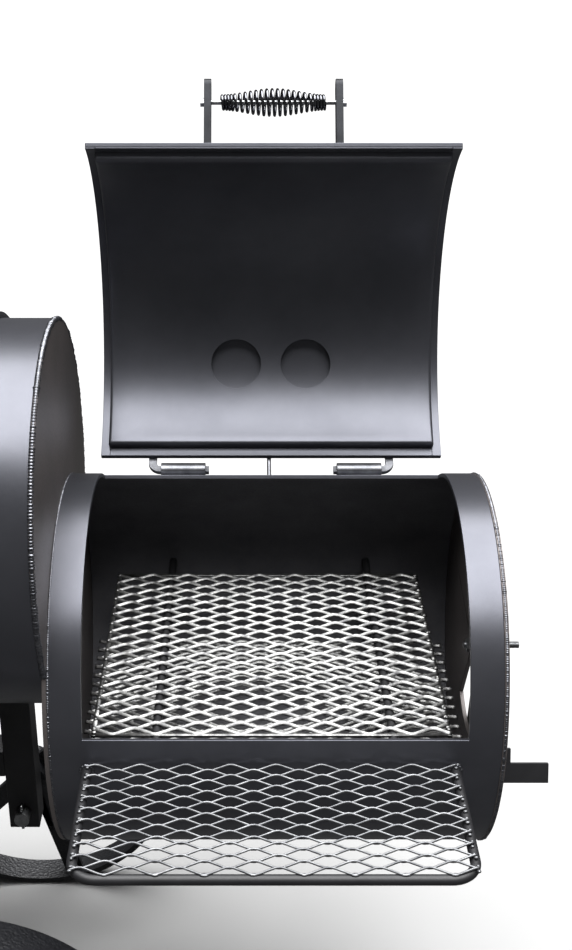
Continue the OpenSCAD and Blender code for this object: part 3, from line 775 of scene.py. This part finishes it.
# %% [markdown]
# ## Weld beads
# A bead is laid as a row of overlapping puddles, like a stack of coins pushed over. Its section
# is round and sinks halfway into the corner. Its radius rises and falls with each puddle, and
# each is a little different. The chamber's rims were welded with a heavier rod. Bump could
# imitate the ripples, but not their outline against the light.


# %% Ripple beads
def bead(path, radius_mm, side, closed=False, pitch_mm=3.6):
    """Round section of four rings a puddle. Its radius swings from three quarters to 1.14
    times the mean over each puddle, and each puddle is a tenth larger or smaller at random."""
    path = np.asarray(path, float)
    run = np.concatenate([path, path[:1]]) if closed else path
    step = np.linalg.norm(np.diff(run, axis=0), axis=1)
    length = step.sum()
    puddles = max(int(length / (pitch_mm * MM)), 2)
    at = np.arange(puddles * 4 + (0 if closed else 1)) / (puddles * 4) * length
    travelled = np.concatenate([[0], np.cumsum(step)])
    path = np.stack([np.interp(at, travelled, run[:, i]) for i in range(3)], -1)
    ripple = np.tile([0.74, 1.04, 1.14, 0.98], puddles + 1)[:len(at)]
    size = np.repeat(rng.normal(1, 0.1, puddles + 1), 4)[:len(at)]
    section = circle(radius_mm * MM * ripple * size, 10)
    return carried(path, section, side, closed)


def hoop(x, y, z, r, count=240):
    """Points (x, y - r cos a, z + r sin a) of a circle about an axis along X."""
    a = np.linspace(0, 2 * math.pi, count, endpoint=False)
    return np.stack([np.full(count, x), y - r * np.cos(a), z + r * np.sin(a)], -1)


def weld_piece(name, parts):
    """Joins beads into one piece."""
    points, faces, caps = joined(parts)
    return piece(name, points, faces, "smoker", [WELD], caps=caps)


rims = [(firebox.x1 + WALL / 2, firebox, 2.4), (firebox.x0 + 1 * MM, firebox, 2.0),
        (chamber.x1 + WALL / 2, chamber, 3.5), (chamber.x0 - WALL / 2, chamber, 3.5)]
weld_piece("rim_welds", [bead(hoop(x, p.y, p.z, p.r - 1.6 * MM), radius, ALONG, True,
                              1.1 * radius) for x, p, radius in rims])
print("rim welds made")


# %% Small welds on hinges, shelf, stack and drain
HINGE_TUBE_R, HINGE_TUBE_LONG, FILLET_OFF = 10.5 * MM, 64 * MM, 6.5 * MM
SHELF_BAR_R, DUCT_R = 6.25 * MM, 51 * MM


def small_welds():
    """Fillets along the hinge tubes, and rings where round bars and pipes meet plate."""
    parts = []
    for vessel, pipe in (("firebox", firebox), ("chamber", chamber)):
        low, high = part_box(vessel + "_hinge_tubes")
        centre_y, centre_z = high.y - HINGE_TUBE_R - 0.1 * MM, high.z - HINGE_TUBE_R
        reach = math.hypot(centre_y - pipe.y, centre_z - pipe.z)
        angle = math.atan2(centre_z - pipe.z, pipe.y - centre_y)
        for start, stop in ((low.x, low.x + HINGE_TUBE_LONG),
                            (high.x - HINGE_TUBE_LONG, high.x)):
            for offset in (-FILLET_OFF, FILLET_OFF):
                a = angle + offset / reach
                y, z = pipe.y - pipe.r * math.cos(a), pipe.z + pipe.r * math.sin(a)
                xs = np.linspace(start + 4 * MM, stop - 4 * MM, 20)
                path = np.stack([xs, np.full(20, y), np.full(20, z)], -1)
                parts.append(bead(path, 2.6, (0, 0, 1)))
    low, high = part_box("front_shelf_bar")
    for x in (low.x + SHELF_BAR_R, high.x - SHELF_BAR_R):
        a = np.linspace(0, 2 * math.pi, 40, endpoint=False)
        r = SHELF_BAR_R + 0.75 * MM
        ring = np.stack([x + r * np.cos(a), np.full(40, high.y - 0.5 * MM),
                         (low.z + high.z) / 2 + r * np.sin(a)], -1)
        parts.append(bead(ring, 2.4, (0, 1, 0), True))
    low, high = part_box("smoke_stack")
    parts.append(bead(hoop(high.x - 1 * MM, firebox.y, low.z + DUCT_R, DUCT_R + 1 * MM), 3.2,
                      ALONG, True))
    low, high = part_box("drain_pipe")
    a = np.linspace(0, 2 * math.pi, 60, endpoint=False)
    r = (high.x - low.x) / 2 + 1 * MM
    parts.append(bead(np.stack([(low.x + high.x) / 2 + r * np.cos(a),
                                (low.y + high.y) / 2 + r * np.sin(a),
                                np.full(60, chamber.z - chamber.r)], -1), 2.6, (0, 0, 1), True))
    return parts


weld_piece("small_welds", small_welds())
print("small welds made")

# %% [markdown]
# ## Thermometer dial
# The dial is a thin enamelled disc in the bottom of the case, with a printed scale of short
# strokes round it. The strokes are thin plates here, so that they stay when the model is used
# elsewhere. They are laid out in the dial's own plane, which lies along the lid's surface.


# %% Dial and strokes
GAUGE_ANGLE = math.radians(38)
DIAL_R, SCALE_R, SCALE_STEPS, SCALE_DEGREES = 35 * MM, 32 * MM, 40, 270
OUT = np.array([0, -math.cos(GAUGE_ANGLE), math.sin(GAUGE_ANGLE)])
UP = np.array([0, math.sin(GAUGE_ANGLE), math.cos(GAUGE_ANGLE)])
glass_low, glass_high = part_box("thermometer_glass")
GLASS_MIDDLE = np.array((glass_low + glass_high) / 2)
DIAL_MIDDLE = GLASS_MIDDLE - OUT * 6.9 * MM


def disc(radius, thickness, sides=64):
    """Disc in the dial's plane, of four rings: from the middle of its underside, out round its
    rim and in to the middle of its top."""
    rings = np.array([[0.02, 0], [1, 0], [1, 1], [0.02, 1]])
    a = np.arange(sides) * 2 * math.pi / sides
    flat = np.cos(a)[:, None] * ALONG + np.sin(a)[:, None] * UP
    points = (DIAL_MIDDLE + rings[:, None, :1] * radius * flat
              + rings[:, None, 1:] * thickness * OUT)
    return points.reshape(-1, 3), ring_faces(4, sides), end_caps(4, sides)


def strokes():
    """Radial plates over the scale's sweep, every fifth one longer and wider."""
    parts = []
    for k in range(SCALE_STEPS + 1):
        turn = math.radians(90 + SCALE_DEGREES / 2 - k * SCALE_DEGREES / SCALE_STEPS)
        out = math.cos(turn) * np.array(ALONG) + math.sin(turn) * UP
        long_one = k % 5 == 0
        length, half = (7 * MM, 0.6 * MM) if long_one else (4 * MM, 0.3 * MM)
        corners = np.array([[-1, -1], [1, -1], [1, 1], [-1, 1]]) * [half, 0.1 * MM]
        path = DIAL_MIDDLE + OUT * 0.65 * MM + np.array([[SCALE_R - length], [SCALE_R]]) * out
        parts.append(carried(path, corners, OUT))
    return parts


points, faces, caps = disc(DIAL_R, 0.6 * MM)
piece("thermometer_dial", points, faces, "chamber_lid", [DIAL], caps=caps)
points, faces, caps = joined(strokes())
piece("thermometer_scale", points, faces, "chamber_lid", [INK], caps=caps)
print("dial at", np.round(DIAL_MIDDLE, 3))

# %% [markdown]
# ## Studding through the air damper
# The damper turns on a length of M10 studding held by two nuts. A thread is a ridge that
# climbs one pitch a turn, so the radius is a function of the place along the rod, in pitches,
# less the angle, in turns. That makes one closed skin, where a ridge wound round a cylinder
# would be two that cross.


# %% Threaded rod and nuts
def threaded_rod(x0, x1, y, z, radius, pitch, depth, sides=16):
    """(x, r cos t, r sin t), with r = radius - depth |2 frac(x/pitch - t/2pi) - 1|."""
    x = np.arange(x0, x1, pitch / 4)
    t = np.arange(sides) / sides
    phase = (x[:, None] / pitch - t[None]) % 1
    r = radius - depth * np.abs(2 * phase - 1)
    r[[0, -1]] *= 0.8
    points = np.stack([np.broadcast_to(x[:, None], r.shape),
                       y + r * np.cos(2 * math.pi * t), z + r * np.sin(2 * math.pi * t)], -1)
    return points.reshape(-1, 3), ring_faces(len(x), sides), end_caps(len(x), sides)


def nut(x, y, z, thick, corner):
    """Hexagon with both faces chamfered, carried along X."""
    path = np.stack([x + thick * np.array([0, 0.14, 0.86, 1]), np.full(4, y), np.full(4, z)],
                    -1)
    return carried(path, circle(corner * np.array([0.9, 1, 1, 0.9]), 6), (0, 0, 1))


low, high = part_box("air_damper_bolt")
plate_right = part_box("air_damper_plate")[1].x
middle_y, middle_z = (low.y + high.y) / 2, (low.z + high.z) / 2
points, faces, caps = joined([
    threaded_rod(low.x, high.x, middle_y, middle_z, 5 * MM, 1.5 * MM, 0.9 * MM),
    nut(low.x + 4 * MM, middle_y, middle_z, 8 * MM, 9.5 * MM),
    nut(plate_right + 1 * MM, middle_y, middle_z, 8 * MM, 9.5 * MM)])
bolt = piece("air_damper_studding", points, faces, "smoker", [ZINC],
             caps=caps)
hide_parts("air_damper_bolt")
bolt.data.set_sharp_from_angle(angle=SHARP)
print("studding", round((high.x - low.x) * 1000), "mm long")

# %% [markdown]
# ## Shelf, grate bars, damper, stack and cart
# These shapes are right as the CAD draws them: bent round bar, square tube, flat plate and
# spoked wheels. They get rounded edges, because a bare CAD edge never catches the light, and
# their own finishes.

# %% Finished copies of the remaining parts
copies = {
    "front_shelf_bar": (CART, 0), "firebox_grate_bars": (SOOT, 0.4),
    "chamber_grate_bars": (SOOT, 0.4), "heat_baffle": (SOOT, 0.6),
    "air_damper_plate": (SOOT, 0.6),
    "air_damper_handle": (CART, 0.6), "drain_pipe": (PIPE, 0.5), "smoke_stack": (PIPE, 0.5),
    "stack_damper_bolt": (ZINC, 0.4), "stack_damper_plate": (PLATE_WITH_PAINTED_LIGHT, 0.6),
    "foot_plates": (CART, 0.8), "side_rails": (CART, 1.2), "cross_rails": (CART, 1.2),
    "tow_handle": (CART, 0), "axles": (ZINC, 0.6), "axle_washers": (ZINC, 0.4),
    "cotter_pins": (ZINC, 0.2), "wheel_front": (WHEEL, 0.8), "wheel_rear": (WHEEL, 0.8),
    "thermometer_case": (CASE, 0.5), "thermometer_glass": (GLASS, 0.2),
    "thermometer_needle": (RED, 0),
    "leg_front_right": (CART, 1.2), "leg_rear_right": (CART, 1.2),
    "leg_front_left": (CART, 1.2), "leg_rear_left": (CART, 1.2)}
for node_name, (finish, width) in copies.items():
    tidy_copy(node_name, finish, width)
print(len(copies), "finished copies")

# %% [markdown]
# ## Stage
# The floor is pale grey paper that one very broad lamp overhead brings up to white, so that
# the soft shadow still shows. The lamp is a sun 72 degrees wide, which acts like a large
# ceiling of light: it draws one wide highlight along each pipe. The world adds a faint even
# fill. The view is from in front of the firebox, looking down by about 27 degrees.

# %% Floor
bpy.ops.mesh.primitive_plane_add(size=30)
floor = bpy.context.object
floor.name = "floor"
floor.data.materials.append(
    surface("pale_seamless_paper", "#9b9b9b", "#999999", metallic=0.0, roughness=0.8,
            spread=0.02, patch_mm=400, grain_mm=5, depth_mm=0.01))
floor.visible_glossy = False


# %% Lights
FILL = 0.1
sun_data = bpy.data.lights.new("broad_overhead", "SUN")
sun_data.energy = 10.8
sun_data.angle = math.radians(72)
sun = bpy.data.objects.new("broad_overhead", sun_data)
sun.rotation_euler = (math.radians(-2), math.radians(3), 0)    # from behind and the right
bpy.context.scene.collection.objects.link(sun)
world = bpy.data.worlds.new("studio")
bpy.context.scene.world = world
world.use_nodes = True
seen = add(world.node_tree, "ShaderNodeLightPath").outputs["Is Camera Ray"]
power = add(world.node_tree, "ShaderNodeMapRange",
            {"Value": seen, "To Min": FILL, "To Max": 1.0})
background = world.node_tree.nodes["Background"]
background.inputs["Color"].default_value = (1, 1, 1, 1)
world.node_tree.links.new(power.outputs[0], background.inputs["Strength"])
bpy.context.scene.view_settings.view_transform = "Standard"
print("sun", sun_data.energy, "W/m2, fill", FILL)

# %% Camera
LOOK_DOWN = math.radians(27.13)
SIDE, BACK, ABOVE = 0.0356, 1.6077, 1.0474    # of the firebox's middle, in metres
camera_data = bpy.data.cameras.new("view")
camera_data.sensor_width = 36
camera_data.lens = 51.4
camera_data.shift_x = 0.0415
camera_data.shift_y = 0.0393
camera_data.clip_end = 60
camera = bpy.data.objects.new("view", camera_data)
camera.location = (firebox.middle - SIDE, firebox.y - BACK, firebox.z + ABOVE)
camera.rotation_euler = (math.radians(90) - LOOK_DOWN, 0, 0)
bpy.context.scene.collection.objects.link(camera)
bpy.context.scene.camera = camera
print("camera at", np.round(camera.location, 3))
